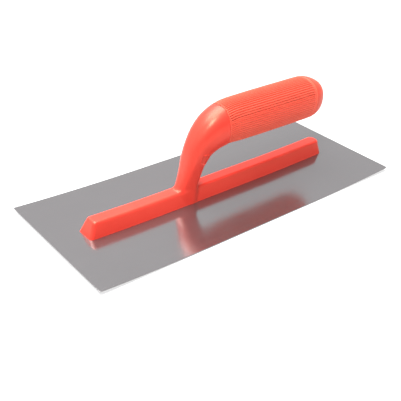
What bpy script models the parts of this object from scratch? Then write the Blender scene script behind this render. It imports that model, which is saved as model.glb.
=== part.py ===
"""Finishing trowel: a 280 x 120 mm steel blade with an open moulded plastic handle.

Units are metres. +X runs along the blade towards the grip's free end, +Z is up, and the
origin is the centre of the blade's underside. The handle is one moulding (a long foot, a
leaning post and the core of the grip), with a ribbed sleeve and an end cap pushed onto the
core. Six countersunk screws hold the foot on the dimpled blade. The blade is flat under the
post and rises very slightly towards both ends, and the foot follows it.
"""
import math

import bmesh
import bpy
from mathutils import Matrix, Vector

MM = 0.001
GAP = 0.3 * MM

# Blade
BLADE_LENGTH = 280 * MM
BLADE_DEPTH = 120 * MM
BLADE_THICKNESS = 0.7 * MM
BLADE_CORNER = 1.5 * MM
BLADE_RISE = 2.6 * MM
BLADE_FLAT_HALF_LENGTH = 40 * MM
BLADE_END_SEGMENTS = 9

# Screws, and the pressed dimples that let their heads lie flush (all cones at 45 degrees)
SCREW_COUNT = 6
SCREW_PITCH = 40 * MM
HEAD_RADIUS = 3.5 * MM
HEAD_RECESS = 0.1 * MM
SHANK_RADIUS = 1.45 * MM
THREAD_RADIUS = 1.85 * MM
THREAD_TURNS = 5
SCREW_TOP_Z = 10.4 * MM
SLOT_LENGTH = 3.8 * MM
SLOT_WIDTH = 0.8 * MM
SLOT_DEPTH = 1.2 * MM
CONE_CLEARANCE = 0.45 * MM
DIMPLE_TOP_Z = 1.7 * MM
PILOT_RADIUS = 2.2 * MM

# Foot: the long bar under the handle, narrower at its top
FOOT_HALF_LENGTH = 115.5 * MM
FOOT_LEFT_SLOPE = 5 * MM
FOOT_RIGHT_SLOPE = 1.5 * MM
FOOT_BOTTOM_Z = BLADE_THICKNESS + GAP
FOOT_TOP_Z = 12.1 * MM
FOOT_BOTTOM_HALF_WIDTH = 8.2 * MM
FOOT_TOP_HALF_WIDTH = 5.3 * MM
FOOT_EDGE_ROUNDING = 1.3 * MM
FOOT_SEGMENTS = 12
FOOT_WALL = 2.2 * MM
BOSS_HALF_LENGTH = 6 * MM
RIB_THICKNESS = 1.6 * MM

# Axis of the handle: a leaning post, an elbow of constant radius, a level grip
POST_LEAN = math.radians(71.5)
ELBOW_RADIUS = 36.2 * MM
ELBOW_END_X = 13.1 * MM
GRIP_AXIS_Z = 56.8 * MM
ELBOW_ARC = ELBOW_RADIUS * POST_LEAN

# Outer section of the handle: distance along the axis from the start of the elbow,
# half height and half width
HANDLE_SECTIONS = (
    (-27.4 * MM, 8.3 * MM, 9.1 * MM),
    (-14 * MM, 7.3 * MM, 8.3 * MM),
    (0 * MM, 8.4 * MM, 8.6 * MM),
    (10 * MM, 10.2 * MM, 9.6 * MM),
    (20 * MM, 12.5 * MM, 11.7 * MM),
    (30 * MM, 14.8 * MM, 13.5 * MM),
    (44 * MM, 16.5 * MM, 15.0 * MM),
    (60 * MM, 16.9 * MM, 15.6 * MM),
    (84 * MM, 17.0 * MM, 16.0 * MM),
    (150 * MM, 17.0 * MM, 16.3 * MM),
)
SECTION_POINTS = 32

# Roundness of the section: a superellipse that is boxy at the post's root and rounder from
# the sleeve on. The post also narrows towards its front where it meets the foot.
ROOT_POWER = 3.6
GRIP_POWER = 2.4
ROOT_FRONT_TAPER = 0.55
ROOT_TAPER_POWER = 1.3

# How far a section's upper side runs ahead of its lower side along the axis: the post ends
# level with the foot, and the sleeve's seam stands nearly upright
ROOT_LEAN = -2.1 * MM
SEAM_LEAN = 3.6 * MM
SEAM_LEAN_SPAN = 24 * MM

# Nose of the grip, a blunt dome
NOSE_START_X = 86.4 * MM
NOSE_LENGTH = 22 * MM
NOSE_POWER = 2.47

# Sleeve, core tube and end cap, along X
SLEEVE_START = 34.3 * MM
SLEEVE_END_X = 93 * MM
SLEEVE_WALL = 3.0 * MM
CORE_END_X = 91.2 * MM
CORE_WALL = 2.6 * MM
HOLLOW_START = -2 * MM
HOLLOW_START_WALL = 4.2 * MM
SPIGOT_LENGTH = 14 * MM
SPIGOT_WALL = 1.8 * MM

# Round moulded recess on each side of the throat; its centre lies below the axis by a share
# of the section's half height
THROAT_DISTANCE = 5 * MM
THROAT_RADIUS = 4.0 * MM
THROAT_DEPTH = 0.7 * MM
THROAT_DROP = 0.4


def clear_scene():
    """Remove every object that is already in the file."""
    for item in list(bpy.data.objects):
        bpy.data.objects.remove(item, do_unlink=True)


def new_collection(name):
    """Return a new collection linked to the scene."""
    collection = bpy.data.collections.new(name)
    bpy.context.scene.collection.children.link(collection)
    return collection


def make_material(name, colour, roughness, metallic=0.0):
    """Return a Principled material."""
    material = bpy.data.materials.new(name)
    material.use_nodes = True
    shader = material.node_tree.nodes["Principled BSDF"]
    shader.inputs["Base Color"].default_value = (*colour, 1.0)
    shader.inputs["Roughness"].default_value = roughness
    shader.inputs["Metallic"].default_value = metallic
    return material


def object_from_bmesh(name, bm, collection, material=None, smooth=False):
    """Turn a bmesh into a linked object with its faces pointing out."""
    bmesh.ops.recalc_face_normals(bm, faces=bm.faces[:])
    mesh = bpy.data.meshes.new(name)
    bm.to_mesh(mesh)
    bm.free()
    if smooth:
        mesh.shade_smooth()
        mesh.set_sharp_from_angle(angle=math.radians(35))
    if material:
        mesh.materials.append(material)
    item = bpy.data.objects.new(name, mesh)
    collection.objects.link(item)
    return item


def hide_cutter(item):
    """Mark an object as a guide that isn't part of the model."""
    item.hide_render = True
    item.display_type = "WIRE"


def boolean(item, cutter, operation):
    """Cut or join one object with another."""
    modifier = item.modifiers.new(cutter.name, "BOOLEAN")
    modifier.operation = operation
    modifier.solver = "EXACT"
    modifier.object = cutter
    hide_cutter(cutter)


def camber(x):
    """How far the blade and the foot stand above their middle at a place along the blade."""
    beyond = max(abs(x) - BLADE_FLAT_HALF_LENGTH, 0.0)
    return BLADE_RISE * (beyond / (BLADE_LENGTH / 2 - BLADE_FLAT_HALF_LENGTH)) ** 2


def bend(verts):
    """Lift the points of a straight shape to follow the blade's camber."""
    for vert in verts:
        vert.co.z += camber(vert.co.x)


def screw_places():
    """X positions of the screws, spread evenly along the foot."""
    first = -SCREW_PITCH * (SCREW_COUNT - 1) / 2
    return [first + SCREW_PITCH * index for index in range(SCREW_COUNT)]


def add_cone(bm, x, z_low, radius_low, z_high, radius_high, segments=24):
    """Add an upright closed cone or cylinder over the blade at a place along it."""
    place = Matrix.Translation((x, 0.0, camber(x) + (z_low + z_high) / 2))
    bmesh.ops.create_cone(
        bm, cap_ends=True, segments=segments, radius1=radius_low, radius2=radius_high,
        depth=z_high - z_low, matrix=place)


def add_block(bm, low, high):
    """Add a box between two corners to a bmesh."""
    size = [b - a for a, b in zip(low, high)]
    centre = [(a + b) / 2 for a, b in zip(low, high)]
    place = Matrix.Translation(centre) @ Matrix.Diagonal((*size, 1.0))
    return bmesh.ops.create_cube(bm, size=1.0, matrix=place)["verts"]


def cone_row(name, collection, slope_radius, z_low, z_high):
    """One 45 degree cone at each screw, slope_radius being its radius at z = 0."""
    bm = bmesh.new()
    for x in screw_places():
        add_cone(bm, x, z_low, slope_radius - z_low, z_high, slope_radius - z_high)
    return object_from_bmesh(name, bm, collection)


def cut_lengthways(bm, segments):
    """Divide a block into equal segments along X."""
    lengthways = [edge for edge in bm.edges if edge.verts[0].co.x * edge.verts[1].co.x < 0]
    bmesh.ops.subdivide_edges(bm, edges=lengthways, cuts=segments - 1, use_grid_fill=True)


def make_blade(parts, cutters, steel):
    """The sheet, with a pressed dimple and a hole for each screw."""
    bm = bmesh.new()
    half_length = BLADE_LENGTH / 2
    half_depth = BLADE_DEPTH / 2
    add_block(bm, (-half_length, -half_depth, 0.0), (half_length, half_depth, BLADE_THICKNESS))
    segments = 2 * BLADE_END_SEGMENTS + 1
    cut_lengthways(bm, segments)
    end_segment = (half_length - BLADE_FLAT_HALF_LENGTH) / BLADE_END_SEGMENTS
    for vert in bm.verts:
        steps = round((half_length - abs(vert.co.x)) / (BLADE_LENGTH / segments))
        vert.co.x = math.copysign(half_length - steps * end_segment, vert.co.x)
    bend(bm.verts)
    corners = [
        edge for edge in bm.edges
        if (edge.verts[0].co - edge.verts[1].co).xy.length < 0.1 * MM
        and min(abs(vert.co.x) for vert in edge.verts) > half_length - 0.1 * MM]
    bmesh.ops.bevel(
        bm, geom=corners, offset=BLADE_CORNER, segments=4, profile=0.5, affect="EDGES")
    blade = object_from_bmesh("blade", bm, parts, steel)

    inside = HEAD_RADIUS + HEAD_RECESS + CONE_CLEARANCE
    outside = inside + BLADE_THICKNESS * math.sqrt(2)
    dimples = cone_row("dimples", cutters, outside, BLADE_THICKNESS / 2, DIMPLE_TOP_Z)
    countersinks = cone_row("countersinks", cutters, inside, -0.5 * MM, DIMPLE_TOP_Z + 0.5 * MM)
    boolean(blade, dimples, "UNION")
    boolean(blade, countersinks, "DIFFERENCE")
    return blade


def mix(start, end, share):
    """The number that lies a share of the way from start to end."""
    return start + (end - start) * share


def foot_half_width(z):
    """Half width of the foot at a height over the blade's underside."""
    up = (z - FOOT_BOTTOM_Z) / (FOOT_TOP_Z - FOOT_BOTTOM_Z)
    return mix(FOOT_BOTTOM_HALF_WIDTH, FOOT_TOP_HALF_WIDTH, up)


def make_foot_blank(parts, plastic):
    """The foot as a tapered bar whose upper edges are rounded."""
    bm = bmesh.new()
    bmesh.ops.create_cube(bm, size=1.0)
    cut_lengthways(bm, FOOT_SEGMENTS)
    for vert in bm.verts:
        side = vert.co.y * 2
        up = vert.co.z + 0.5
        left = FOOT_LEFT_SLOPE * up - FOOT_HALF_LENGTH
        right = FOOT_HALF_LENGTH - FOOT_RIGHT_SLOPE * up
        z = mix(FOOT_BOTTOM_Z, FOOT_TOP_Z, up)
        vert.co = (mix(left, right, vert.co.x + 0.5), side * foot_half_width(z), z)

    bm.normal_update()
    sharp = []
    for edge in bm.edges:
        raised = max(vert.co.z for vert in edge.verts) > FOOT_TOP_Z - 0.1 * MM
        if raised and edge.calc_face_angle() > math.radians(40):
            sharp.append(edge)
    bend(bm.verts)
    bmesh.ops.bevel(
        bm, geom=sharp, offset=FOOT_EDGE_ROUNDING, segments=3, profile=0.5, affect="EDGES")
    return object_from_bmesh("handle_body", bm, parts, plastic, smooth=True)


def make_pockets(collection):
    """Cored-out pockets in the foot's underside, two between each pair of screws."""
    bm = bmesh.new()
    roof = FOOT_TOP_Z - FOOT_WALL
    places = screw_places()
    for left, right in zip(places, places[1:]):
        middle = (left + right) / 2
        spans = (
            (left + BOSS_HALF_LENGTH, middle - RIB_THICKNESS / 2),
            (middle + RIB_THICKNESS / 2, right - BOSS_HALF_LENGTH))
        for start, end in spans:
            block = add_block(bm, (start, -1.0, FOOT_BOTTOM_Z - 1 * MM), (end, 1.0, roof))
            for vert in block:
                vert.co.y *= foot_half_width(vert.co.z) - FOOT_WALL
            bend(block)
    return object_from_bmesh("foot_pockets", bm, collection)


def handle_axis(distance):
    """Point on the handle's axis and its heading above the horizontal."""
    on_arc = min(max(distance, 0.0), ELBOW_ARC)
    heading = POST_LEAN - on_arc / ELBOW_RADIUS
    point = Vector((
        ELBOW_END_X - ELBOW_RADIUS * math.sin(heading),
        0.0,
        GRIP_AXIS_Z - ELBOW_RADIUS + ELBOW_RADIUS * math.cos(heading)))
    along = Vector((math.cos(heading), 0.0, math.sin(heading)))
    return point + along * (distance - on_arc), heading


def distance_at_x(x):
    """Distance along the axis of a place on the level part of the grip."""
    return ELBOW_ARC + x - ELBOW_END_X


def nose_factor(distance):
    """How far the section has shrunk on the dome at the grip's free end."""
    t = (distance - distance_at_x(NOSE_START_X)) / NOSE_LENGTH
    t = min(max(t, 0.0), 1.0)
    return (1.0 - t ** NOSE_POWER) ** (1.0 / NOSE_POWER)


def handle_section(distance):
    """Half height and half width of the handle's outer section."""
    rows = HANDLE_SECTIONS
    index = 0
    while index < len(rows) - 2 and distance > rows[index + 1][0]:
        index += 1
    before = rows[max(index - 1, 0)]
    start = rows[index]
    end = rows[index + 1]
    after = rows[min(index + 2, len(rows) - 1)]
    span = end[0] - start[0]
    t = min(max((distance - start[0]) / span, 0.0), 1.0)
    sizes = []
    for column in (1, 2):
        slope_in = (end[column] - before[column]) / (end[0] - before[0]) * span
        slope_out = (after[column] - start[column]) / (after[0] - start[0]) * span
        sizes.append(
            start[column] * (2 * t ** 3 - 3 * t ** 2 + 1)
            + slope_in * (t ** 3 - 2 * t ** 2 + t)
            + end[column] * (3 * t ** 2 - 2 * t ** 3)
            + slope_out * (t ** 3 - t ** 2))
    factor = nose_factor(distance)
    return sizes[0] * factor, sizes[1] * factor


def section_power(distance):
    """Exponent of the superellipse at a place on the axis."""
    root = HANDLE_SECTIONS[0][0]
    share = min(max((SLEEVE_START - distance) / (SLEEVE_START - root), 0.0), 1.0)
    return mix(GRIP_POWER, ROOT_POWER, share)


def front_taper(distance):
    """Share by which the front of the post is narrower than its back."""
    share = max(distance / HANDLE_SECTIONS[0][0], 0.0)
    return ROOT_FRONT_TAPER * share ** ROOT_TAPER_POWER


def section_lean(distance):
    """Lean of the section at a place on the axis."""
    if distance < 0.0:
        return ROOT_LEAN * (distance / HANDLE_SECTIONS[0][0]) ** 2
    share = 1.0 - abs(distance - SLEEVE_START) / SEAM_LEAN_SPAN
    return SEAM_LEAN * max(share, 0.0)


def ring(distance, inset=0.0):
    """Points of the handle's section at a place on its axis, inset from the surface."""
    lean = section_lean(distance)
    power = 2 / section_power(distance)
    points = []
    for step in range(SECTION_POINTS):
        angle = 2 * math.pi * (step + 0.5) / SECTION_POINTS
        across = math.copysign(abs(math.sin(angle)) ** power, math.sin(angle))
        above = math.copysign(abs(math.cos(angle)) ** power, math.cos(angle))
        place = distance + lean * above
        centre, heading = handle_axis(place)
        half_height, half_width = handle_section(place)
        half_width *= 1.0 - front_taper(place) * (1.0 + above) / 2
        upward = Vector((-math.sin(heading), 0.0, math.cos(heading)))
        sideways = Vector((0.0, max(half_width - inset, 0.2 * MM) * across, 0.0))
        points.append(centre + upward * max(half_height - inset, 0.2 * MM) * above + sideways)
    return points


def loft(name, rings, collection, material, closed=False):
    """Skin a list of rings; closed joins the last ring to the first, else both are capped."""
    bm = bmesh.new()
    loops = [[bm.verts.new(point) for point in points] for points in rings]
    pairs = list(zip(loops, loops[1:]))
    if closed:
        pairs.append((loops[-1], loops[0]))
    for near, far in pairs:
        for index in range(SECTION_POINTS):
            after = (index + 1) % SECTION_POINTS
            bm.faces.new((near[index], near[after], far[after], far[index]))
    if not closed:
        bm.faces.new(loops[0])
        bm.faces.new(loops[-1])
    return object_from_bmesh(name, bm, collection, material, smooth=True)


def spread(start, end, count):
    """Evenly spaced numbers from start to end."""
    return [mix(start, end, index / (count - 1)) for index in range(count)]


def make_core(cutters, plastic):
    """Post, elbow and grip core, hollow from the grip's free end down to the post."""
    core_end = distance_at_x(CORE_END_X)
    core_inset = SLEEVE_WALL + GAP
    bore_inset = core_inset + CORE_WALL
    rings = [ring(s) for s in spread(HANDLE_SECTIONS[0][0], SLEEVE_START, 14)]
    rings += [ring(s, core_inset) for s in spread(SLEEVE_START, core_end, 8)]
    rings += [ring(s, bore_inset) for s in spread(core_end, SLEEVE_START, 7)]
    for step, distance in enumerate(spread(SLEEVE_START, HOLLOW_START, 7)[1:], start=1):
        rings.append(ring(distance, mix(bore_inset, HOLLOW_START_WALL, step / 6)))
    return loft("post_and_core", rings, cutters, plastic)


def make_throat_recesses(collection):
    """Two shallow round cutters, one on each side of the throat."""
    centre, heading = handle_axis(THROAT_DISTANCE)
    half_height, half_width = handle_section(THROAT_DISTANCE)
    inward = Vector((math.sin(heading), 0.0, -math.cos(heading)))
    place = centre + inward * (half_height * THROAT_DROP)
    depth = 10 * MM
    bm = bmesh.new()
    for side in (-1, 1):
        middle = place + Vector((0, side * (half_width - THROAT_DEPTH + depth / 2), 0))
        matrix = Matrix.Translation(middle) @ Matrix.Rotation(math.pi / 2, 4, "X")
        bmesh.ops.create_cone(
            bm, cap_ends=True, segments=24, radius1=THROAT_RADIUS, radius2=THROAT_RADIUS,
            depth=depth, matrix=matrix)
    return object_from_bmesh("throat_recesses", bm, collection)


def make_pilot_holes(collection):
    """Holes for the screws' shanks in the foot's bosses."""
    bm = bmesh.new()
    for x in screw_places():
        add_cone(bm, x, FOOT_BOTTOM_Z, PILOT_RADIUS, SCREW_TOP_Z + 0.6 * MM, PILOT_RADIUS)
    return object_from_bmesh("pilot_holes", bm, collection)


def make_handle_body(parts, cutters, plastic):
    """Foot, post and grip core as the one moulding that they are."""
    body = make_foot_blank(parts, plastic)
    outside = (HEAD_RADIUS + HEAD_RECESS + CONE_CLEARANCE + BLADE_THICKNESS * math.sqrt(2)
               + CONE_CLEARANCE)
    seats = cone_row("dimple_seats", cutters, outside, 0.5 * MM, DIMPLE_TOP_Z + GAP)
    boolean(body, make_core(cutters, plastic), "UNION")
    boolean(body, make_pockets(cutters), "DIFFERENCE")
    boolean(body, seats, "DIFFERENCE")
    boolean(body, make_pilot_holes(cutters), "DIFFERENCE")
    boolean(body, make_throat_recesses(cutters), "DIFFERENCE")
    return body


def make_sleeve(parts, rubber):
    """The sleeve pushed over the grip's core."""
    start = SLEEVE_START + GAP
    end = distance_at_x(SLEEVE_END_X)
    stations = spread(start, end, 9)
    rings = [ring(s) for s in stations]
    rings += [ring(s, SLEEVE_WALL) for s in reversed(stations)]
    return loft("grip_sleeve", rings, parts, rubber, closed=True)


def make_end_cap(parts, plastic):
    """The domed cap and the spigot that plugs the core's open end."""
    flange = distance_at_x(SLEEVE_END_X) + GAP
    spigot_inset = SLEEVE_WALL + GAP + CORE_WALL + GAP
    spigot_start = distance_at_x(CORE_END_X) - SPIGOT_LENGTH
    nose_start = distance_at_x(NOSE_START_X)

    def on_dome(angle):
        return nose_start + NOSE_LENGTH * math.sin(angle) ** (2 / NOSE_POWER)

    first_angle = math.asin(((flange - nose_start) / NOSE_LENGTH) ** (NOSE_POWER / 2))
    angles = spread(first_angle, math.radians(88), 8)
    hollow = [ring(flange, spigot_inset + SPIGOT_WALL)]
    hollow.append(ring(spigot_start, spigot_inset + SPIGOT_WALL))
    spigot = [ring(spigot_start, spigot_inset), ring(flange, spigot_inset)]
    dome = [ring(on_dome(angle)) for angle in angles]
    return loft("end_cap", hollow + spigot + dome, parts, plastic)


def screw_profile():
    """Half outline of a screw that points up, from its tip down to its head."""
    points = [(0.0, SCREW_TOP_Z), (SHANK_RADIUS * 0.55, SCREW_TOP_Z - 1.2 * MM)]
    head_top = HEAD_RADIUS + HEAD_RECESS - SHANK_RADIUS
    thread_top = SCREW_TOP_Z - 1.6 * MM
    pitch = (thread_top - head_top - 0.8 * MM) / THREAD_TURNS
    for turn in range(THREAD_TURNS):
        crest = thread_top - pitch * turn
        points.append((SHANK_RADIUS, crest))
        points.append((THREAD_RADIUS, crest - pitch * 0.35))
    points.append((SHANK_RADIUS, thread_top - pitch * THREAD_TURNS))
    points.append((SHANK_RADIUS, head_top))
    points.append((HEAD_RADIUS, HEAD_RECESS))
    points.append((0.0, HEAD_RECESS))
    return points


def make_screws(parts, cutters, zinc):
    """Six alike countersunk screws with a cross slot, driven from below."""
    bm = bmesh.new()
    verts = [bm.verts.new((radius, 0.0, z)) for radius, z in screw_profile()]
    for near, far in zip(verts, verts[1:]):
        bm.edges.new((near, far))
    mesh = bpy.data.meshes.new("screw_profile")
    bm.to_mesh(mesh)
    bm.free()
    pattern = bpy.data.objects.new("screw_pattern", mesh)
    cutters.objects.link(pattern)
    turned = pattern.modifiers.new("turn", "SCREW")
    turned.steps = 16
    turned.render_steps = 16
    turned.use_merge_vertices = True
    turned.merge_threshold = 0.00001
    for name, size_x, size_y in (
            ("slot_along", SLOT_LENGTH, SLOT_WIDTH), ("slot_across", SLOT_WIDTH, SLOT_LENGTH)):
        slot = bmesh.new()
        top = HEAD_RECESS + SLOT_DEPTH
        for vert in add_block(slot, (-size_x / 2, -size_y / 2, -1 * MM), (size_x / 2, size_y / 2, top)):
            if vert.co.z > 0:
                vert.co.x *= 0.7
                vert.co.y *= 0.7
        boolean(pattern, object_from_bmesh(name, slot, cutters), "DIFFERENCE")

    evaluated = pattern.evaluated_get(bpy.context.evaluated_depsgraph_get())
    finished = bpy.data.meshes.new_from_object(evaluated)
    finished.shade_smooth()
    finished.set_sharp_from_angle(angle=math.radians(35))
    finished.materials.clear()
    finished.materials.append(zinc)
    bpy.data.objects.remove(pattern, do_unlink=True)
    for number, x in enumerate(screw_places(), start=1):
        screw = bpy.data.objects.new(f"blade_screw_{number}", finished)
        screw.location = (x, 0.0, camber(x))
        parts.objects.link(screw)


def main():
    """Build the trowel."""
    clear_scene()
    parts = new_collection("finishing_trowel")
    cutters = new_collection("cutters")
    steel = make_material("polished_steel", (0.36, 0.35, 0.355), 0.18, metallic=1.0)
    zinc = make_material("zinc_plated_steel", (0.55, 0.55, 0.56), 0.35, metallic=1.0)
    plastic = make_material("orange_plastic", (0.82, 0.055, 0.03), 0.32)
    sleeve = make_material("orange_sleeve", (0.86, 0.075, 0.045), 0.55)
    make_blade(parts, cutters, steel)
    make_handle_body(parts, cutters, plastic)
    make_sleeve(parts, sleeve)
    make_end_cap(parts, plastic)
    make_screws(parts, cutters, zinc)


main()
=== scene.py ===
import itertools
import math

import bmesh
import bpy
import numpy as np
from mathutils import Matrix, Vector


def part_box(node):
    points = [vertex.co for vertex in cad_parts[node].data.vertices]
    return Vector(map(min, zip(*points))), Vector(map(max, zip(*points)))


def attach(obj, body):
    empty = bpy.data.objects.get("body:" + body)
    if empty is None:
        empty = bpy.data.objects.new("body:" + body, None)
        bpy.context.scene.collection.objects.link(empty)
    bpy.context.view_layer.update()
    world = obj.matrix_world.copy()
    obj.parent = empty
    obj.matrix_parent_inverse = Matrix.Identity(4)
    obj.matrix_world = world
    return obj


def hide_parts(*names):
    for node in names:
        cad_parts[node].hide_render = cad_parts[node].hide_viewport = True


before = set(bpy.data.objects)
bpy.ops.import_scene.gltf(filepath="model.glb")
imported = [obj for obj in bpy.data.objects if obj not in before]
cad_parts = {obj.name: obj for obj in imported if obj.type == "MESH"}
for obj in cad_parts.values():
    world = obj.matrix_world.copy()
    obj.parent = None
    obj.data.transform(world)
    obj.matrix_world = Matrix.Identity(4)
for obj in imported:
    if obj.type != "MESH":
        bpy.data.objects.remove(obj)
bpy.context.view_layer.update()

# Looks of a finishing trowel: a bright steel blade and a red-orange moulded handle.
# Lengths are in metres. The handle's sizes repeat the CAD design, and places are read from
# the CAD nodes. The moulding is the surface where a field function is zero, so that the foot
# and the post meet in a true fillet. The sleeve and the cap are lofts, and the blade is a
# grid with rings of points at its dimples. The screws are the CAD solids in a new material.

MM = 0.001
GAP = 0.3 * MM

body_low, body_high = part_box("handle_body")
sleeve_low, sleeve_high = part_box("grip_sleeve")
cap_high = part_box("end_cap")[1]
blade_low, blade_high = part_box("blade")
screw_nodes = sorted(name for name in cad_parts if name.startswith("blade_screw_"))
screw_places = sorted((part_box(name)[0].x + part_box(name)[1].x) / 2 for name in screw_nodes)

# Blade and screws
BLADE_THICKNESS = 0.7 * MM
BLADE_CORNER = 1.5 * MM
BLADE_RISE = blade_high.z - BLADE_THICKNESS
BLADE_FLAT_HALF_LENGTH = 40 * MM
BLADE_GRID = 2.5 * MM
BLADE_EASING = 0.12 * MM
BLADE_CORNER_REACH = 0.1 * MM
DIMPLE_PATCH = 10 * MM
DIMPLE_TOP_Z = 1.7 * MM
HEAD_RADIUS = 3.5 * MM
HEAD_RECESS = 0.1 * MM
SCREW_TOP_Z = 10.4 * MM
CONE_CLEARANCE = 0.45 * MM
SEAT_RADIUS = HEAD_RADIUS + HEAD_RECESS + 2 * CONE_CLEARANCE + BLADE_THICKNESS * math.sqrt(2)

# Foot
FOOT_LEFT_X = body_low.x
FOOT_RIGHT_X = body_high.x
FOOT_BOTTOM_Z = body_low.z
FOOT_TOP_Z = 12.1 * MM
FOOT_LEFT_SLOPE = 5 * MM
FOOT_RIGHT_SLOPE = 1.5 * MM
FOOT_BOTTOM_HALF_WIDTH = 8.2 * MM
FOOT_TOP_HALF_WIDTH = 5.3 * MM
FOOT_WALL = 2.2 * MM
BOSS_HALF_LENGTH = 6 * MM
RIB_THICKNESS = 1.6 * MM
PILOT_RADIUS = 2.2 * MM
PILOT_TOP_Z = SCREW_TOP_Z + 0.6 * MM
POCKET_ROUNDING = 0.8 * MM

# Axis and sections of the handle
POST_LEAN = math.radians(71.5)
ELBOW_RADIUS = 36.2 * MM
ELBOW_END_X = 13.1 * MM
GRIP_AXIS_Z = (sleeve_low.z + sleeve_high.z) / 2
ELBOW_ARC = ELBOW_RADIUS * POST_LEAN
HANDLE_SECTIONS = (
    (-27.4 * MM, 8.3 * MM, 9.1 * MM),
    (-14 * MM, 7.3 * MM, 8.3 * MM),
    (0 * MM, 8.4 * MM, 8.6 * MM),
    (10 * MM, 10.2 * MM, 9.6 * MM),
    (20 * MM, 12.5 * MM, 11.7 * MM),
    (30 * MM, 14.8 * MM, 13.5 * MM),
    (44 * MM, 16.5 * MM, 15.0 * MM),
    (60 * MM, 16.9 * MM, 15.6 * MM),
    (84 * MM, 17.0 * MM, 16.0 * MM),
    (150 * MM, 17.0 * MM, 16.3 * MM),
)
ROOT_POWER = 3.6
GRIP_POWER = 2.4
ROOT_FRONT_TAPER = 0.55
ROOT_TAPER_POWER = 1.3
SEAM_LEAN = 3.6 * MM
SEAM_LEAN_SPAN = 24 * MM
NOSE_START_X = 86.4 * MM
NOSE_LENGTH = cap_high.x - NOSE_START_X
NOSE_POWER = 2.47
SLEEVE_START = 34.3 * MM
SLEEVE_END_X = sleeve_high.x
SLEEVE_WALL = 3.0 * MM
CORE_END_X = 91.2 * MM
CORE_WALL = 2.6 * MM
HOLLOW_START = -2 * MM
HOLLOW_START_WALL = 4.2 * MM
SPIGOT_LENGTH = 14 * MM
SPIGOT_WALL = 1.8 * MM
THROAT_DISTANCE = 5 * MM
THROAT_RADIUS = 4.0 * MM
THROAT_DEPTH = 0.7 * MM
THROAT_DROP = 0.4

# Finish of the moulding, which comes closer to its neighbours than the CAD solids do
CLOSE_GAP = 0.05 * MM
FOOT_UNDERSIDE_Z = BLADE_THICKNESS + CLOSE_GAP
NET_PITCH = 0.6 * MM
NET_MARGIN = 1 * MM
NET_HALF_WIDTH = 15 * MM
SLOPE_STEP = 0.02 * MM
LEAST_SLOPE_SQUARED = 0.1
LEAST_SECTION_SIZE = 0.5 * MM
FOOT_EDGE_RADIUS = 1.5 * MM
LEFT_CORNER_RADIUS = 2.5 * MM
RIGHT_CORNER_RADIUS = 4.5 * MM
ROOT_FILLET = 2.5 * MM
SEAM_ROUNDING = 0.12 * MM
THROAT_RIM_HALF_WIDTH = 0.5 * MM
THROAT_RIM_HEIGHT = 0.4 * MM
THROAT_RIM_ROUNDING = 0.2 * MM
THROAT_RIM_FILLET = 0.3 * MM
RECESS_FLOOR_FILLET = 0.4 * MM
RECESS_EDGE_ROUNDING = 0.3 * MM

# Ribs of the sleeve: coarse ones above, fine ones below, and a plain ridge between them
RIDGE_ANGLE = math.radians(74)
RIDGE_WIDTH = 1.0 * MM
UPPER_RIBS = 22
LOWER_RIBS = 36
POINTS_PER_RIB = 10
POINTS_PER_RIDGE = 6
RIB_CREST = 0.1 * MM
UPPER_RIB_DEPTH = 0.9 * MM
LOWER_RIB_DEPTH = 0.45 * MM
RIB_FADE = 1.6 * MM
COLLAR_LENGTH = 0.1 * MM
BEAD_LENGTH = 1.9 * MM
BEAD_GROOVE = 0.35 * MM
SLEEVE_EDGE = 0.05 * MM
GROOVE_ATTRIBUTE = "groove"
# Share of the deep colour left at the bottom of a groove: painted shade, darker the deeper the groove
GROOVE_PAINTED_SHADE = 0.68


def mix(start, end, share):
    """The number that lies a share of the way from start to end."""
    return start + (end - start) * share


# ---------------------------------------------------------------- the handle's axis and sections

def cubic_sizes(distance):
    """Half height and half width of the handle's section, smooth between the listed ones."""
    rows = HANDLE_SECTIONS
    index = 0
    while index < len(rows) - 2 and distance > rows[index + 1][0]:
        index += 1
    before = rows[max(index - 1, 0)]
    start = rows[index]
    end = rows[index + 1]
    after = rows[min(index + 2, len(rows) - 1)]
    span = end[0] - start[0]
    t = min(max((distance - start[0]) / span, 0.0), 1.0)
    sizes = []
    for column in (1, 2):
        slope_in = (end[column] - before[column]) / (end[0] - before[0]) * span
        slope_out = (after[column] - start[column]) / (after[0] - start[0]) * span
        sizes.append(
            start[column] * (2 * t ** 3 - 3 * t ** 2 + 1)
            + slope_in * (t ** 3 - 2 * t ** 2 + t)
            + end[column] * (3 * t ** 2 - 2 * t ** 3)
            + slope_out * (t ** 3 - t ** 2))
    return sizes


SIZE_DISTANCES = np.arange(-60 * MM, 150 * MM, 0.25 * MM)
SIZE_TABLE = np.array([cubic_sizes(distance) for distance in SIZE_DISTANCES])


def distance_at_x(x):
    """Distance along the axis of a place on the level part of the grip."""
    return ELBOW_ARC + x - ELBOW_END_X


def nose_factor(distance):
    """How far the section has shrunk on the dome at the grip's free end."""
    t = np.clip((distance - distance_at_x(NOSE_START_X)) / NOSE_LENGTH, 0.0, 1.0)
    return (1.0 - t ** NOSE_POWER) ** (1.0 / NOSE_POWER)


def section_sizes(distance):
    """Half height and half width of the handle's section, for numbers or arrays."""
    factor = nose_factor(distance)
    half_height = np.interp(distance, SIZE_DISTANCES, SIZE_TABLE[:, 0]) * factor
    half_width = np.interp(distance, SIZE_DISTANCES, SIZE_TABLE[:, 1]) * factor
    return half_height, half_width


def section_power(distance):
    """Exponent of the section's superellipse, for numbers or arrays."""
    root = HANDLE_SECTIONS[0][0]
    share = np.clip((SLEEVE_START - distance) / (SLEEVE_START - root), 0.0, 1.0)
    return mix(GRIP_POWER, ROOT_POWER, share)


def front_taper(distance):
    """Share by which the front of the post is narrower than its back."""
    share = np.maximum(distance / HANDLE_SECTIONS[0][0], 0.0)
    return ROOT_FRONT_TAPER * share ** ROOT_TAPER_POWER


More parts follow.
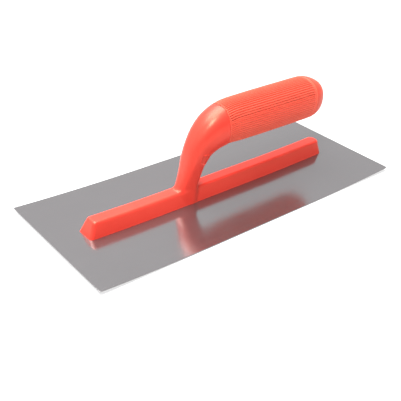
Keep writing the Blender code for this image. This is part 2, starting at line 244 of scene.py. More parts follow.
def axis_point(distance):
    """X and Z of points on the handle's axis, and its heading above the horizontal."""
    on_arc = np.clip(distance, 0.0, ELBOW_ARC)
    heading = POST_LEAN - on_arc / ELBOW_RADIUS
    beyond = distance - on_arc
    x = ELBOW_END_X - ELBOW_RADIUS * np.sin(heading) + beyond * np.cos(heading)
    z = GRIP_AXIS_Z - ELBOW_RADIUS + ELBOW_RADIUS * np.cos(heading) + beyond * np.sin(heading)
    return x, z, heading


def signed_power(value, power):
    """A power that keeps the sign of its base."""
    return np.sign(value) * np.abs(value) ** power


def ring_points(distance, angles, inset):
    """Points round the handle at a distance along it; angle 0 is on top, inset is per point."""
    power = 2 / section_power(distance)
    above = signed_power(np.cos(angles), power)
    across = signed_power(np.sin(angles), power)
    lean = SEAM_LEAN * max(1.0 - abs(distance - SLEEVE_START) / SEAM_LEAN_SPAN, 0.0)
    place = distance + lean * above
    x, z, heading = axis_point(place)
    half_height, half_width = section_sizes(place)
    height = np.maximum(half_height - inset, 0.0) * above
    width = np.maximum(half_width - inset, 0.0) * across
    return np.stack([x - np.sin(heading) * height, width, z + np.cos(heading) * height], axis=-1)


def outline_lengths():
    """Section angles round the grip, and the length of outline up to each of them."""
    fine = np.linspace(0.0, 2 * math.pi, 8001)
    half_height, half_width = section_sizes(distance_at_x(NOSE_START_X))
    up = half_height * signed_power(np.cos(fine), 2 / GRIP_POWER)
    side = half_width * signed_power(np.sin(fine), 2 / GRIP_POWER)
    return fine, np.concatenate([[0.0], np.cumsum(np.hypot(np.diff(up), np.diff(side)))])


def even_angles(count):
    """Section angles that are evenly spaced along the outline of the grip."""
    fine, length = outline_lengths()
    return np.interp(np.arange(count) / count * length[-1], length, fine)


# ---------------------------------------------------------------- fields, negative inside

def round_max(first, second, radius):
    """Where both fields are negative, with the edge between them rounded."""
    outside = np.hypot(np.maximum(first + radius, 0.0), np.maximum(second + radius, 0.0))
    return outside + np.minimum(np.maximum(first, second) + radius, 0.0) - radius


def round_min(first, second, radius):
    """Where either field is negative, with a fillet along the corner between them."""
    return -round_max(-first, -second, radius)


def camber(x):
    """How far the blade and the foot stand above their middle, for numbers or arrays."""
    beyond = np.maximum(np.abs(x) - BLADE_FLAT_HALF_LENGTH, 0.0)
    return BLADE_RISE * (beyond / (blade_high.x - BLADE_FLAT_HALF_LENGTH)) ** 2


def foot_half_width(z):
    """Half width of the foot at a height over the blade's underside."""
    up = (z - FOOT_BOTTOM_Z) / (FOOT_TOP_Z - FOOT_BOTTOM_Z)
    return mix(FOOT_BOTTOM_HALF_WIDTH, FOOT_TOP_HALF_WIDTH, up)


def foot_field(x, y, z):
    """The long bar with sloping sides and ends."""
    height = FOOT_TOP_Z - FOOT_BOTTOM_Z
    up = z - FOOT_BOTTOM_Z
    side_lean = math.hypot(1.0, (FOOT_BOTTOM_HALF_WIDTH - FOOT_TOP_HALF_WIDTH) / height)
    left_lean = math.hypot(1.0, FOOT_LEFT_SLOPE / height)
    right_lean = math.hypot(1.0, FOOT_RIGHT_SLOPE / height)
    side = (np.abs(y) - foot_half_width(z)) / side_lean
    left = (FOOT_LEFT_X + FOOT_LEFT_SLOPE * up / height - x) / left_lean
    right = (x - FOOT_RIGHT_X + FOOT_RIGHT_SLOPE * up / height) / right_lean
    plan = round_max(side, left, LEFT_CORNER_RADIUS)
    plan = round_max(plan, right, RIGHT_CORNER_RADIUS)
    return round_max(plan, z - FOOT_TOP_Z, FOOT_EDGE_RADIUS)


def handle_coordinates(x, z):
    """Distance along the handle's axis, and height above it, of points."""
    right = x - ELBOW_END_X
    up = z - (GRIP_AXIS_Z - ELBOW_RADIUS)
    turn = np.arctan2(-right, up)
    distance = (POST_LEAN - turn) * ELBOW_RADIUS
    above = np.hypot(right, up) - ELBOW_RADIUS
    level = right > 0
    distance = np.where(level, ELBOW_ARC + right, distance)
    above = np.where(level, z - GRIP_AXIS_Z, above)
    from_start_x = right + ELBOW_RADIUS * math.sin(POST_LEAN)
    from_start_z = up - ELBOW_RADIUS * math.cos(POST_LEAN)
    on_post = ~level & (turn > POST_LEAN)
    along_post = from_start_x * math.cos(POST_LEAN) + from_start_z * math.sin(POST_LEAN)
    off_post = from_start_z * math.cos(POST_LEAN) - from_start_x * math.sin(POST_LEAN)
    return np.where(on_post, along_post, distance), np.where(on_post, off_post, above)


def section_field(distance, above, y):
    """Signed distance, close to the surface, from the handle's outer skin."""
    half_height, half_width = section_sizes(distance)
    half_height = np.maximum(half_height, LEAST_SECTION_SIZE)
    lean = np.clip(above / half_height, -1.0, 1.0)
    narrowing = 1.0 - front_taper(distance) * (1.0 + lean) / 2
    half_width = np.maximum(half_width * narrowing, LEAST_SECTION_SIZE)
    power = section_power(distance)
    up = np.abs(above) / half_height + 1e-9
    out = np.abs(y) / half_width + 1e-9
    size = (up ** power + out ** power) ** (1 / power)
    slope_up = (up / size) ** (power - 1) / half_height
    slope_out = (out / size) ** (power - 1) / half_width
    return (size - 1) / np.hypot(slope_up, slope_out)


def pocket_field(x, y, z):
    """Pockets and pilot holes in the straight foot's underside."""
    roof = z - (FOOT_TOP_Z - FOOT_WALL)
    wall = np.abs(y) - (foot_half_width(z) - FOOT_WALL)
    pockets = np.full(x.shape, 1.0)
    for left, right in zip(screw_places, screw_places[1:]):
        middle = (left + right) / 2
        outer = np.abs(x - middle) - ((right - left) / 2 - BOSS_HALF_LENGTH)
        inner = RIB_THICKNESS / 2 - np.abs(x - middle)
        pockets = np.minimum(pockets, np.maximum(outer, inner))
    pockets = round_max(np.maximum(pockets, wall), roof, POCKET_ROUNDING)
    for place in screw_places:
        pilot = np.maximum(np.hypot(x - place, y) - PILOT_RADIUS, z - PILOT_TOP_Z)
        seat = (np.hypot(x - place, y) - SEAT_RADIUS + z) / math.sqrt(2)
        seat = np.maximum(seat, z - DIMPLE_TOP_Z - GAP)
        pockets = np.minimum(pockets, np.minimum(pilot, seat))
    return pockets


def throat_field(x, y, z):
    """Distance from the circle of the throat's round recess, and the recess itself."""
    centre_x, centre_z, heading = axis_point(THROAT_DISTANCE)
    half_height, half_width = section_sizes(THROAT_DISTANCE)
    centre_x += math.sin(heading) * half_height * THROAT_DROP
    centre_z -= math.cos(heading) * half_height * THROAT_DROP
    radial = np.hypot(x - centre_x, z - centre_z) - THROAT_RADIUS
    depth = (half_width - THROAT_DEPTH) - np.abs(y)
    return radial, round_max(radial, depth, RECESS_FLOOR_FILLET)


def moulding_field(x, y, z):
    """Foot, post, neck and grip core."""
    distance, above = handle_coordinates(x, z)
    skin = section_field(distance, above, y)
    half_height = section_sizes(distance)[0]
    lean = np.clip(above / np.maximum(half_height, LEAST_SECTION_SIZE), -1.0, 1.0)
    seam = distance - SEAM_LEAN * lean - SLEEVE_START
    neck = round_max(skin, seam, SEAM_ROUNDING)
    core_inset = SLEEVE_WALL + GAP
    core = np.maximum(skin + core_inset, x - CORE_END_X)
    handle = np.minimum(neck, core)
    level = z - camber(x)
    body = round_min(foot_field(x, y, level), handle, ROOT_FILLET)
    share = np.clip((distance - HOLLOW_START) / (SLEEVE_START - HOLLOW_START), 0.0, 1.0)
    wall = mix(HOLLOW_START_WALL, core_inset + CORE_WALL, share)
    hollow = np.maximum(skin + wall, HOLLOW_START - distance)
    body = np.maximum(body, -hollow)
    body = np.maximum(body, -pocket_field(x, y, level))
    radial, recess = throat_field(x, y, z)
    band = np.abs(radial) - THROAT_RIM_HALF_WIDTH
    rim = round_max(band, skin - THROAT_RIM_HEIGHT, THROAT_RIM_ROUNDING)
    rim = np.maximum(rim, -skin - 2 * THROAT_RIM_HALF_WIDTH)
    body = round_min(body, rim, THROAT_RIM_FILLET)
    return round_max(body, -recess, RECESS_EDGE_ROUNDING)


# ---------------------------------------------------------------- surface of a field

def net(field, low, high, pitch):
    """Points and quads round the region where the field is negative, one point per cell."""
    axes = [np.arange(low[i], high[i] + pitch, pitch) for i in range(3)]
    inside = field(*np.meshgrid(*axes, indexing="ij")) < 0
    cells = tuple(size - 1 for size in inside.shape)
    corners_inside = np.zeros(cells, int)
    for corner in itertools.product((0, 1), repeat=3):
        corners_inside += inside[tuple(slice(c, c + n) for c, n in zip(corner, cells))]
    crossed = (corners_inside > 0) & (corners_inside < 8)
    number = np.cumsum(crossed).reshape(cells) - 1
    points = np.array(low) + (np.argwhere(crossed) + 0.5) * pitch

    quads = []
    steps = np.eye(3, dtype=int)
    for axis in range(3):
        side = steps[(axis + 1) % 3]
        up = steps[(axis + 2) % 3]
        here = inside[tuple(slice(None, -1) if i == axis else slice(1, -1) for i in range(3))]
        there = inside[tuple(slice(1, None) if i == axis else slice(1, -1) for i in range(3))]
        start = np.argwhere(here != there) + (1 - steps[axis])
        around = (start - side - up, start - up, start, start - side)
        quad = np.stack([number[tuple(cell.T)] for cell in around], axis=1)
        entering = ~inside[tuple(start.T)]
        quad[entering] = quad[entering][:, ::-1]
        quads.append(quad)
    return points, np.concatenate(quads)


def project(points, field):
    """Move points onto the surface where the field is zero."""
    for _ in range(2):
        value = field(*points.T)
        shifted = [field(*(points + shift).T) for shift in np.eye(3) * SLOPE_STEP]
        slope = np.stack([(moved - value) / SLOPE_STEP for moved in shifted], 1)
        move = slope * (value / np.maximum((slope ** 2).sum(1), LEAST_SLOPE_SQUARED))[:, None]
        points = points - np.clip(move, -NET_PITCH, NET_PITCH)
    return points


def relaxed(points, quads, field, rounds):
    """Even out the points over the surface."""
    for _ in range(rounds):
        sums = np.zeros_like(points)
        for near, far in ((0, 1), (1, 2), (2, 3), (3, 0)):
            np.add.at(sums, quads[:, near], points[quads[:, far]])
            np.add.at(sums, quads[:, far], points[quads[:, near]])
        degree = 2 * np.bincount(quads.ravel(), minlength=len(points))
        points = project(sums / degree[:, None], field)
    return points


# ---------------------------------------------------------------- pieces

def new_piece(name, mesh, material, slot, *nodes):
    """Make an object of a mesh that stands for CAD nodes."""
    mesh.materials.clear()
    mesh.materials.append(material)
    piece = bpy.data.objects.new(name, mesh)
    bpy.context.scene.collection.objects.link(piece)
    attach(piece, "root")
    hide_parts(*nodes)
    return piece


def smooth_mesh(name, bm, angle=40):
    """A mesh from a bmesh, smooth apart from edges sharper than an angle in degrees."""
    mesh = bpy.data.meshes.new(name)
    bm.to_mesh(mesh)
    bm.free()
    mesh.shade_smooth()
    mesh.set_sharp_from_angle(angle=math.radians(angle))
    return mesh


def bend(bm, sign):
    """Bend a straight shape to the blade's camber, or straighten a bent one."""
    for vert in bm.verts:
        vert.co.z += sign * float(camber(vert.co.x))


def moulding_mesh():
    """The moulding, cut off under the foot where it meets the blade."""
    low = (FOOT_LEFT_X - NET_MARGIN, -NET_HALF_WIDTH, FOOT_BOTTOM_Z - 2 * NET_MARGIN)
    high = (FOOT_RIGHT_X + NET_MARGIN, NET_HALF_WIDTH, sleeve_high.z + NET_MARGIN)
    points, quads = net(moulding_field_closed, low, high, NET_PITCH)
    points = relaxed(points, quads, moulding_field_closed, 3)
    bm = bmesh.new()
    verts = [bm.verts.new(point) for point in points]
    for quad in quads:
        bm.faces.new([verts[index] for index in quad])
    bend(bm, -1)
    everything = bm.verts[:] + bm.edges[:] + bm.faces[:]
    cut = bmesh.ops.bisect_plane(
        bm, geom=everything, plane_co=(0, 0, FOOT_UNDERSIDE_Z), plane_no=(0, 0, 1),
        clear_inner=True, dist=0.001 * MM)
    rim = [item for item in cut["geom_cut"] if isinstance(item, bmesh.types.BMEdge)]
    bmesh.ops.triangle_fill(bm, edges=rim, use_beauty=True)
    bend(bm, 1)
    bmesh.ops.recalc_face_normals(bm, faces=bm.faces[:])
    return smooth_mesh("handle_moulding", bm)


def moulding_field_closed(x, y, z):
    """The moulding's field, closed a little below the foot, where it's cut off later."""
    return np.maximum(moulding_field(x, y, z), FOOT_UNDERSIDE_Z - NET_MARGIN - z + camber(x))


def loft_mesh(name, rings, closed=False):
    """Skin rings of points; closed joins the last ring to the first, else both are capped."""
    bm = bmesh.new()
    loops = [[bm.verts.new(point) for point in ring] for ring in rings]
    pairs = list(zip(loops, loops[1:]))
    if closed:
        pairs.append((loops[-1], loops[0]))
    for near, far in pairs:
        for index in range(len(near)):
            after = (index + 1) % len(near)
            bm.faces.new((near[index], near[after], far[after], far[index]))
    if not closed:
        for loop in (loops[0], loops[-1]):
            centre = bm.verts.new(sum((vert.co for vert in loop), Vector()) / len(loop))
            for index in range(len(loop)):
                bm.faces.new((loop[index], loop[(index + 1) % len(loop)], centre))
    bmesh.ops.recalc_face_normals(bm, faces=bm.faces[:])
    return smooth_mesh(name, bm)


def rib_layout():
    """Section angles of the sleeve's points, and each point's depth below the crests."""
    fine, length = outline_lengths()
    ridge = np.interp(RIDGE_ANGLE, fine, length)
    bottom = length[-1] / 2
    upper = ridge - RIDGE_WIDTH / 2
    lower = ridge + RIDGE_WIDTH / 2
    halves = (
        (0.0, upper, UPPER_RIBS / 2, UPPER_RIB_DEPTH),
        (lower, bottom, LOWER_RIBS / 2, LOWER_RIB_DEPTH))
    places = []
    depths = []
    for start, end, ribs, depth in halves:
        steps = round(ribs * POINTS_PER_RIB)
        phase = np.arange(steps) / POINTS_PER_RIB
        places.append(start + (end - start) * phase / ribs)
        depths.append(RIB_CREST + depth * (1.0 - np.abs(np.sin(math.pi * phase))))
        if start == 0.0:
            places.append(np.linspace(upper, lower, POINTS_PER_RIDGE, endpoint=False))
            depths.append(RIB_CREST * np.abs(np.linspace(-1.0, 1.0, POINTS_PER_RIDGE, endpoint=False)))
    places = np.concatenate(places)
    depths = np.concatenate(depths)
    places = np.concatenate([places, [bottom], length[-1] - places[:0:-1]])
    depths = np.concatenate([depths, [depths[0]], depths[:0:-1]])
    return np.interp(places, length, fine), depths


def sleeve_mesh():
    """The sleeve with ribs that fade out at both ends, a bead at the free end, and an
    attribute that says how deep each point lies in a groove."""
    angles, depths = rib_layout()
    start = SLEEVE_START + CLOSE_GAP
    end = distance_at_x(SLEEVE_END_X)
    ribs_start = start + COLLAR_LENGTH
    ribs_end = end - BEAD_LENGTH
    stations = [start, start + SLEEVE_EDGE]
    stations += list(np.linspace(ribs_start, ribs_start + RIB_FADE, 9))
    stations += list(np.linspace(ribs_start + RIB_FADE, distance_at_x(ELBOW_END_X), 14)[1:])
    stations += list(np.linspace(distance_at_x(ELBOW_END_X), ribs_end - RIB_FADE, 24)[1:])
    stations += list(np.linspace(ribs_end - RIB_FADE, ribs_end, 7)[1:])
    rings = []
    painted_shade_shares = []
    for station in stations:
        fade = min(max((station - ribs_start) / RIB_FADE, 0.0), 1.0)
        if station > ribs_end - RIB_FADE:
            fade = (ribs_end - station) / RIB_FADE
        fade = math.sin(fade * math.pi / 2)
        near_bead = max(station - ribs_end + RIB_FADE, 0.0) / RIB_FADE
        edge = max(start + SLEEVE_EDGE - station, 0.0) / SLEEVE_EDGE
        inset = depths * fade + BEAD_GROOVE * near_bead ** 2 + SLEEVE_EDGE * edge
        rings.append(ring_points(station, angles, inset))
        # Groove depth shares, which the plastic materials turn into painted shade in the grooves
        painted_shade_shares.append(fade * (depths - RIB_CREST) / UPPER_RIB_DEPTH)
    for step in range(1, 10):
        turn = step / 10 * math.pi
        station = mix(ribs_end, end, 0.5 - 0.5 * math.cos(turn))
        rings.append(ring_points(station, angles, BEAD_GROOVE * (1 - math.sin(turn))))
    rings.append(ring_points(end, angles, BEAD_GROOVE))
    inner = [ring_points(station, angles, SLEEVE_WALL) for station in np.linspace(end, start, 10)]
    mesh = loft_mesh("ribbed_sleeve", rings + inner, closed=True)
    groove = mesh.attributes.new(GROOVE_ATTRIBUTE, "FLOAT", "POINT")
    values = np.zeros(len(mesh.vertices), np.float32)
    painted_shade_shares = np.array(painted_shade_shares).ravel()
    values[:len(painted_shade_shares)] = painted_shade_shares
    groove.data.foreach_set("value", values)
    return mesh


def cap_mesh():
    """The domed end cap and its spigot."""
    angles = even_angles(144)
    flange = distance_at_x(SLEEVE_END_X) + CLOSE_GAP
    nose_start = distance_at_x(NOSE_START_X)
    spigot_inset = SLEEVE_WALL + GAP + CORE_WALL + GAP
    spigot_start = distance_at_x(CORE_END_X) - SPIGOT_LENGTH
    rings = [ring_points(flange, angles, spigot_inset + SPIGOT_WALL)]
    rings.append(ring_points(spigot_start, angles, spigot_inset + SPIGOT_WALL))
    rings.append(ring_points(spigot_start, angles, spigot_inset))
    rings.append(ring_points(flange, angles, spigot_inset))
    first = math.asin(((flange - nose_start) / NOSE_LENGTH) ** (NOSE_POWER / 2))
    for inset in (0.6, 0.3, 0.1):
        rings.append(ring_points(flange + (0.6 - inset) * 0.3 * MM, angles, inset * MM))
    for angle in np.linspace(first + 0.03, math.radians(89.5), 36):
        station = nose_start + NOSE_LENGTH * math.sin(angle) ** (2 / NOSE_POWER)
        rings.append(ring_points(station, angles, 0.0))
    return loft_mesh("domed_cap", rings)


def dimple_profile():
    """Radii and heights over a dimple: up its outside, round its lip and down its inside."""
    inside = HEAD_RADIUS + HEAD_RECESS + CONE_CLEARANCE
    outside = inside + BLADE_THICKNESS * math.sqrt(2)
    foot = outside - BLADE_THICKNESS
    soft = 0.3 * MM
    lip = 0.1 * MM
    top = DIMPLE_TOP_Z
    return (
        (foot + 2 * soft, BLADE_THICKNESS),
        (foot + 0.4 * soft, BLADE_THICKNESS + 0.25 * soft),
        (foot - soft, BLADE_THICKNESS + soft),
        (outside - top + lip, top - lip),
        (outside - top - lip, top),
        (inside - top + lip, top),
        (inside - top + 0.3 * lip, top - lip),
        (inside - lip, lip),
        (inside + lip, 0.0))


def blade_mesh():
    """The sheet on a fine grid, with its pressed dimples, eased edges and camber."""
    bm = bmesh.new()
    across = round((blade_high.y - blade_low.y) / BLADE_GRID)
    along = round((blade_high.x - blade_low.x) / BLADE_GRID)
    patch = round(DIMPLE_PATCH / BLADE_GRID)
    centres = [round((place - blade_low.x) / BLADE_GRID) for place in screw_places]

    def in_patch(i, j):
        """Whether a place on the grid lies in the square round a dimple."""
        return abs(j - across / 2) < patch and any(abs(i - centre) < patch for centre in centres)

    layers = []
    for height in (BLADE_THICKNESS, 0.0):
        layer = {}
        for i in range(along + 1):
            for j in range(across + 1):
                if not in_patch(i, j):
                    x = blade_low.x + i * BLADE_GRID
                    layer[i, j] = bm.verts.new((x, blade_low.y + j * BLADE_GRID, height))
        layers.append(layer)
        for i in range(along):
            for j in range(across):
                if not in_patch(i + 0.5, j + 0.5):
                    keys = ((i, j), (i + 1, j), (i + 1, j + 1), (i, j + 1))
                    bm.faces.new([layer[key] for key in keys])
    top, bottom = layers
    edge = [(i, 0) for i in range(along)] + [(along, j) for j in range(across)]
    edge += [(i, across) for i in range(along, 0, -1)] + [(0, j) for j in range(across, 0, -1)]
    for key, after in zip(edge, edge[1:] + edge[:1]):
        bm.faces.new((top[key], top[after], bottom[after], bottom[key]))

    square = [(patch, j) for j in range(-patch, patch)] + [(-i, patch) for i in range(-patch, patch)]
    square += [(-patch, -j) for j in range(-patch, patch)] + [(i, -patch) for i in range(-patch, patch)]
    profile = dimple_profile()
    rows = [(0.5, profile[0])] + [(1.0, row) for row in profile]
    for centre in centres:
        keys = [(centre + i, across // 2 + j) for i, j in square]
        middle = Vector((blade_low.x + centre * BLADE_GRID, 0.0, 0.0))
        loops = [[top[key] for key in keys]]
        for share, (radius, height) in rows:
            ring = []
            for i, j in square:
                flat = Vector((i, j, 0.0)) * BLADE_GRID
                spot = flat.lerp(flat.normalized() * radius, share)
                ring.append(bm.verts.new(middle + spot + Vector((0.0, 0.0, height))))
            loops.append(ring)
        loops.append([bottom[key] for key in keys])
        for near, far in zip(loops, loops[1:]):
            for index in range(len(near)):
                after = (index + 1) % len(near)
                bm.faces.new((near[index], near[after], far[after], far[index]))

    corners = [
        item for item in bm.edges
        if all(abs(vert.co.x) > blade_high.x - BLADE_CORNER_REACH for vert in item.verts)
        and all(abs(vert.co.y) > blade_high.y - BLADE_CORNER_REACH for vert in item.verts)]
    bmesh.ops.bevel(bm, geom=corners, offset=BLADE_CORNER, segments=6, profile=0.5, affect="EDGES")
    bmesh.ops.recalc_face_normals(bm, faces=bm.faces[:])
    rim = [
        item for item in bm.edges
        if item.calc_face_angle(0.0) > math.radians(80)
        and max(abs(vert.co.z) for vert in item.verts) < DIMPLE_TOP_Z / 2]
    bmesh.ops.bevel(bm, geom=rim, offset=BLADE_EASING, segments=2, profile=0.5, affect="EDGES")
    bend(bm, 1)
    return smooth_mesh("blade_sheet", bm, angle=20)


# ---------------------------------------------------------------- materials

PLASTIC_IOR = 1.49
HIGHLIGHT_TINT = (1.0, 0.74, 0.5, 1.0)
SHEEN_ROUGHNESS = 0.4
SHEEN_TINT = (1.0, 0.7, 0.45, 1.0)
PEEL_DISTANCE = 0.04 * MM
ROLLING_DISTANCE = 0.03 * MM
WORN_SHADE = 0.94


def noise(tree, scale, detail=3.0, roughness=0.5, stretch=(1.0, 1.0, 1.0)):
    """Noise over the object in its own coordinates, scale in features per metre."""
    coordinates = tree.nodes.new("ShaderNodeTexCoord")
    mapping = tree.nodes.new("ShaderNodeMapping")
    mapping.inputs["Scale"].default_value = stretch
    texture = tree.nodes.new("ShaderNodeTexNoise")
    texture.inputs["Scale"].default_value = scale
    texture.inputs["Detail"].default_value = detail
    texture.inputs["Roughness"].default_value = roughness
    tree.links.new(coordinates.outputs["Object"], mapping.inputs["Vector"])
    tree.links.new(mapping.outputs["Vector"], texture.inputs["Vector"])
    return texture.outputs["Fac"]


def mapped(tree, value, low, high, to_low, to_high):
    """A value's range stretched to another range, clamped."""
    made = tree.nodes.new("ShaderNodeMapRange")
    made.inputs["From Min"].default_value = low
    made.inputs["From Max"].default_value = high
    made.inputs["To Min"].default_value = to_low
    made.inputs["To Max"].default_value = to_high
    tree.links.new(value, made.inputs["Value"])
    return made.outputs["Result"]


def colour_mix(tree, factor, first, second):
    """A colour between two, each a colour or a socket, by a factor socket."""
    made = tree.nodes.new("ShaderNodeMix")
    made.data_type = "RGBA"
    tree.links.new(factor, made.inputs["Factor"])
    for socket, colour in ((made.inputs[6], first), (made.inputs[7], second)):
        if isinstance(colour, tuple):
            socket.default_value = (*colour, 1.0)
        else:
            tree.links.new(colour, socket)
    return made.outputs[2]


def total(tree, first, second):
    """The sum of two values."""
    made = tree.nodes.new("ShaderNodeMath")
    made.operation = "ADD"
    tree.links.new(first, made.inputs[0])
    tree.links.new(second, made.inputs[1])
    return made.outputs[0]


def bump(tree, height, strength, distance, normal=None):
    """A bump node over another."""
    made = tree.nodes.new("ShaderNodeBump")
    made.inputs["Strength"].default_value = strength
    made.inputs["Distance"].default_value = distance
    tree.links.new(height, made.inputs["Height"])
    if normal:
        tree.links.new(normal, made.inputs["Normal"])
    return made.outputs["Normal"]


def new_material(name):
    """A material's tree and its Principled shader."""
    material = bpy.data.materials.new(name)
    material.use_nodes = True
    tree = material.node_tree
    return material, tree, tree.nodes["Principled BSDF"]


def plastic_material(name, colour, deep_colour, rough_low, rough_high, shine, sheen, grain):
    """Moulded plastic: faint clouds of colour, painted shade in the grooves, uneven gloss and orange
    peel.
    Only the sleeve has the groove attribute, which reads as 0 on the other pieces."""
    material, tree, shader = new_material(name)
    cloud = mapped(tree, noise(tree, 45, 4.0), 0.35, 0.65, 0.0, 1.0)
    base = colour_mix(tree, cloud, deep_colour, colour)
    groove = tree.nodes.new("ShaderNodeAttribute")
    groove.attribute_name = GROOVE_ATTRIBUTE
    # Painted shade: the deep colour is dimmed in the grooves by their depth, standing in for the shade
    # the ribs cast
    painted_groove_shade = tuple(channel * GROOVE_PAINTED_SHADE for channel in deep_colour)
    base = colour_mix(tree, groove.outputs["Fac"], base, painted_groove_shade)
    tree.links.new(base, shader.inputs["Base Color"])
    gloss = mapped(tree, noise(tree, 160, 5.0, 0.6), 0.3, 0.7, rough_low, rough_high)
    scuffs = mapped(tree, noise(tree, 220, 3.0, 0.6, stretch=(1.0, 7.0, 7.0)), 0.62, 0.8, 0.0, 0.08)
    tree.links.new(total(tree, gloss, scuffs), shader.inputs["Roughness"])
    peel = bump(tree, noise(tree, 900, 2.0), grain, PEEL_DISTANCE)
    tree.links.new(peel, shader.inputs["Normal"])
    shader.inputs["IOR"].default_value = PLASTIC_IOR
    shader.inputs["Specular IOR Level"].default_value = shine
    shader.inputs["Specular Tint"].default_value = HIGHLIGHT_TINT
    shader.inputs["Sheen Weight"].default_value = sheen
    shader.inputs["Sheen Roughness"].default_value = SHEEN_ROUGHNESS
    shader.inputs["Sheen Tint"].default_value = SHEEN_TINT
    return material


def steel_material(name, colour, rough_low, rough_high, metallic, line_depth):
    """Rolled steel: faint lengthways grain and haze, shallow rolling lines and smudges."""
    material, tree, shader = new_material(name)
    grain = noise(tree, 14, 6.0, 0.7, stretch=(1.0, 90.0, 90.0))
    lines = noise(tree, 60, 2.0, 0.5, stretch=(1.0, 40.0, 40.0))
    smudge = mapped(tree, noise(tree, 22, 4.0, 0.6), 0.45, 0.7, 0.0, 0.03)
    worn = tuple(channel * WORN_SHADE for channel in colour)
    tree.links.new(colour_mix(tree, grain, worn, colour), shader.inputs["Base Color"])
    rough = mapped(tree, lines, 0.35, 0.65, rough_low, rough_high)
    tree.links.new(total(tree, rough, smudge), shader.inputs["Roughness"])
    rolling = noise(tree, 30, 3.0, 0.6, stretch=(1.0, 90.0, 90.0))
    lined = bump(tree, rolling, line_depth, ROLLING_DISTANCE)
    tree.links.new(lined, shader.inputs["Normal"])
    shader.inputs["Metallic"].default_value = metallic
    return material


# ---------------------------------------------------------------- stage

# Camera, fitted to the photograph
CAMERA_AZIMUTH = math.radians(-39.87)
CAMERA_ELEVATION = math.radians(31.45)
CAMERA_ROLL = math.radians(2.40)
CAMERA_TARGET = Vector((-18.03 * MM, -7.19 * MM, 0.0))
CAMERA_DISTANCE = 0.5337
CAMERA_LENS = 62.52
CAMERA_SENSOR = 36
CAMERA_CLIP_START = 0.01

# Lights: name, azimuth and elevation in degrees, distance, width, height, power in watts
LIGHT_TARGET = Vector((0.0, 0.0, 30 * MM))
LIGHTS = (
    ("overhead", 100, 70, 1.3, 1.0, 1.0, 36),
    ("key_softbox", 208, 63, 1.0, 0.26, 0.26, 10),
    ("right_fill", -50, 14, 0.6, 0.4, 0.3, 0.3),
)

# Surroundings, brightest towards one side
BRIGHT_SIDE = (-0.5, 1.0, 0.35)
WORLD_DIM = 0.15
WORLD_BRIGHT = 0.98
WORLD_COLOUR = (0.98, 0.99, 1.0, 1.0)
DIM_FROM = -0.9
BRIGHT_FROM = 0.3

FLOOR_SIZE = 3.0
FLOOR_DROP = 0.2 * MM
FLOOR_DARK = (0.28, 0.28, 0.28)
FLOOR_LIGHT = (0.30, 0.30, 0.30)
FLOOR_GLOW = 0.7
FLOOR_ROUGHNESS = 0.9


def area_light(name, azimuth, elevation, distance, width, height, power):
    """A soft rectangular light that points at the object from a direction in degrees."""
    light = bpy.data.lights.new(name, "AREA")
    light.shape = "RECTANGLE"
    light.size = width
    light.size_y = height
    light.energy = power
    lamp = bpy.data.objects.new(name, light)
    bpy.context.scene.collection.objects.link(lamp)
    turn = math.radians(azimuth)
    lift = math.radians(elevation)
    away = Vector((
        math.cos(turn) * math.cos(lift),
        math.sin(turn) * math.cos(lift),
        math.sin(lift)))
    lamp.location = LIGHT_TARGET + away * distance
    lamp.rotation_euler = away.to_track_quat("Z", "Y").to_euler()


def make_camera():
    """The camera at the photograph's viewing angle."""
    back = Vector((
        math.sin(CAMERA_AZIMUTH) * math.cos(CAMERA_ELEVATION),
        -math.cos(CAMERA_AZIMUTH) * math.cos(CAMERA_ELEVATION),
        math.sin(CAMERA_ELEVATION)))
    data = bpy.data.cameras.new("camera")
    data.lens = CAMERA_LENS
    data.sensor_width = CAMERA_SENSOR
    data.clip_start = CAMERA_CLIP_START
    camera = bpy.data.objects.new("camera", data)
    bpy.context.scene.collection.objects.link(camera)
    turned = back.to_track_quat("Z", "Y").to_matrix() @ Matrix.Rotation(CAMERA_ROLL, 3, "Z")
    place = Matrix.Translation(CAMERA_TARGET + back * CAMERA_DISTANCE)
    camera.matrix_world = place @ turned.to_4x4()
    bpy.context.scene.camera = camera


def make_floor():
    """A wide pale floor just under the blade, which glows a little so that it stays white."""
    bm = bmesh.new()
    bmesh.ops.create_grid(bm, x_segments=8, y_segments=8, size=FLOOR_SIZE)
    mesh = bpy.data.meshes.new("floor")
    bm.to_mesh(mesh)
    bm.free()
    material, tree, shader = new_material("floor_white")
    tint = colour_mix(tree, noise(tree, 3), FLOOR_DARK, FLOOR_LIGHT)
    tree.links.new(tint, shader.inputs["Base Color"])
    shader.inputs["Emission Color"].default_value = (1.0, 1.0, 1.0, 1.0)
    shader.inputs["Emission Strength"].default_value = FLOOR_GLOW
    shader.inputs["Roughness"].default_value = FLOOR_ROUGHNESS
    mesh.materials.append(material)
    floor = bpy.data.objects.new("floor", mesh)
    floor.location.z = -FLOOR_DROP
    bpy.context.scene.collection.objects.link(floor)


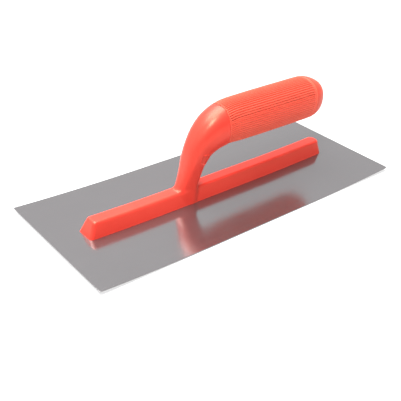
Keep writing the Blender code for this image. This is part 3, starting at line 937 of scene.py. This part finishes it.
def make_world():
    """Soft light from all round, brightest from the blade's far side and dimmest opposite."""
    world = bpy.data.worlds.new("studio")
    world.use_nodes = True
    tree = world.node_tree
    coordinates = tree.nodes.new("ShaderNodeTexCoord")
    towards = tree.nodes.new("ShaderNodeVectorMath")
    towards.operation = "DOT_PRODUCT"
    towards.inputs[1].default_value = Vector(BRIGHT_SIDE).normalized()
    tree.links.new(coordinates.outputs["Generated"], towards.inputs[0])
    side = towards.outputs["Value"]
    strength = mapped(tree, side, DIM_FROM, BRIGHT_FROM, WORLD_DIM, WORLD_BRIGHT)
    tree.links.new(strength, tree.nodes["Background"].inputs["Strength"])
    tree.nodes["Background"].inputs["Color"].default_value = WORLD_COLOUR
    bpy.context.scene.world = world


def make_lights():
    """A large light overhead, a small softbox on the left and a weak low fill on the right."""
    for row in LIGHTS:
        area_light(*row)
    bpy.context.scene.view_settings.view_transform = "Standard"


make_camera()
make_floor()
make_world()
make_lights()
orange = plastic_material(
    "orange_plastic", (0.77, 0.045, 0.030), (0.75, 0.040, 0.027),
    rough_low=0.28, rough_high=0.36, shine=0.5, sheen=0.15, grain=0.12)
sleeve_orange = plastic_material(
    "orange_sleeve", (0.80, 0.080, 0.048), (0.78, 0.073, 0.044),
    rough_low=0.42, rough_high=0.52, shine=0.5, sheen=0.45, grain=0.2)
# The cap is the moulding's plastic with a darker base: painted shade for the dome, which faces away
# from the light
cap_orange_painted_shade = plastic_material(
    "orange_cap_painted_shade", (0.72, 0.070, 0.042), (0.70, 0.063, 0.038),
    rough_low=0.42, rough_high=0.52, shine=0.3, sheen=0.1, grain=0.15)
steel = steel_material(
    "polished_steel", (0.292, 0.278, 0.282),
    rough_low=0.12, rough_high=0.17, metallic=0.90, line_depth=0.4)
zinc = steel_material(
    "zinc_plated_steel", (0.55, 0.55, 0.56),
    rough_low=0.28, rough_high=0.42, metallic=1.0, line_depth=0.1)

new_piece("handle_moulding", moulding_mesh(), orange, "orange_plastic", "handle_body")
new_piece("ribbed_sleeve", sleeve_mesh(), sleeve_orange, "orange_sleeve", "grip_sleeve")
new_piece("domed_cap", cap_mesh(), cap_orange_painted_shade, "orange_plastic", "end_cap")
new_piece("blade_sheet", blade_mesh(), steel, "polished_steel", "blade")
for name in screw_nodes:
    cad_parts[name].data.materials.clear()
    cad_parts[name].data.materials.append(zinc)
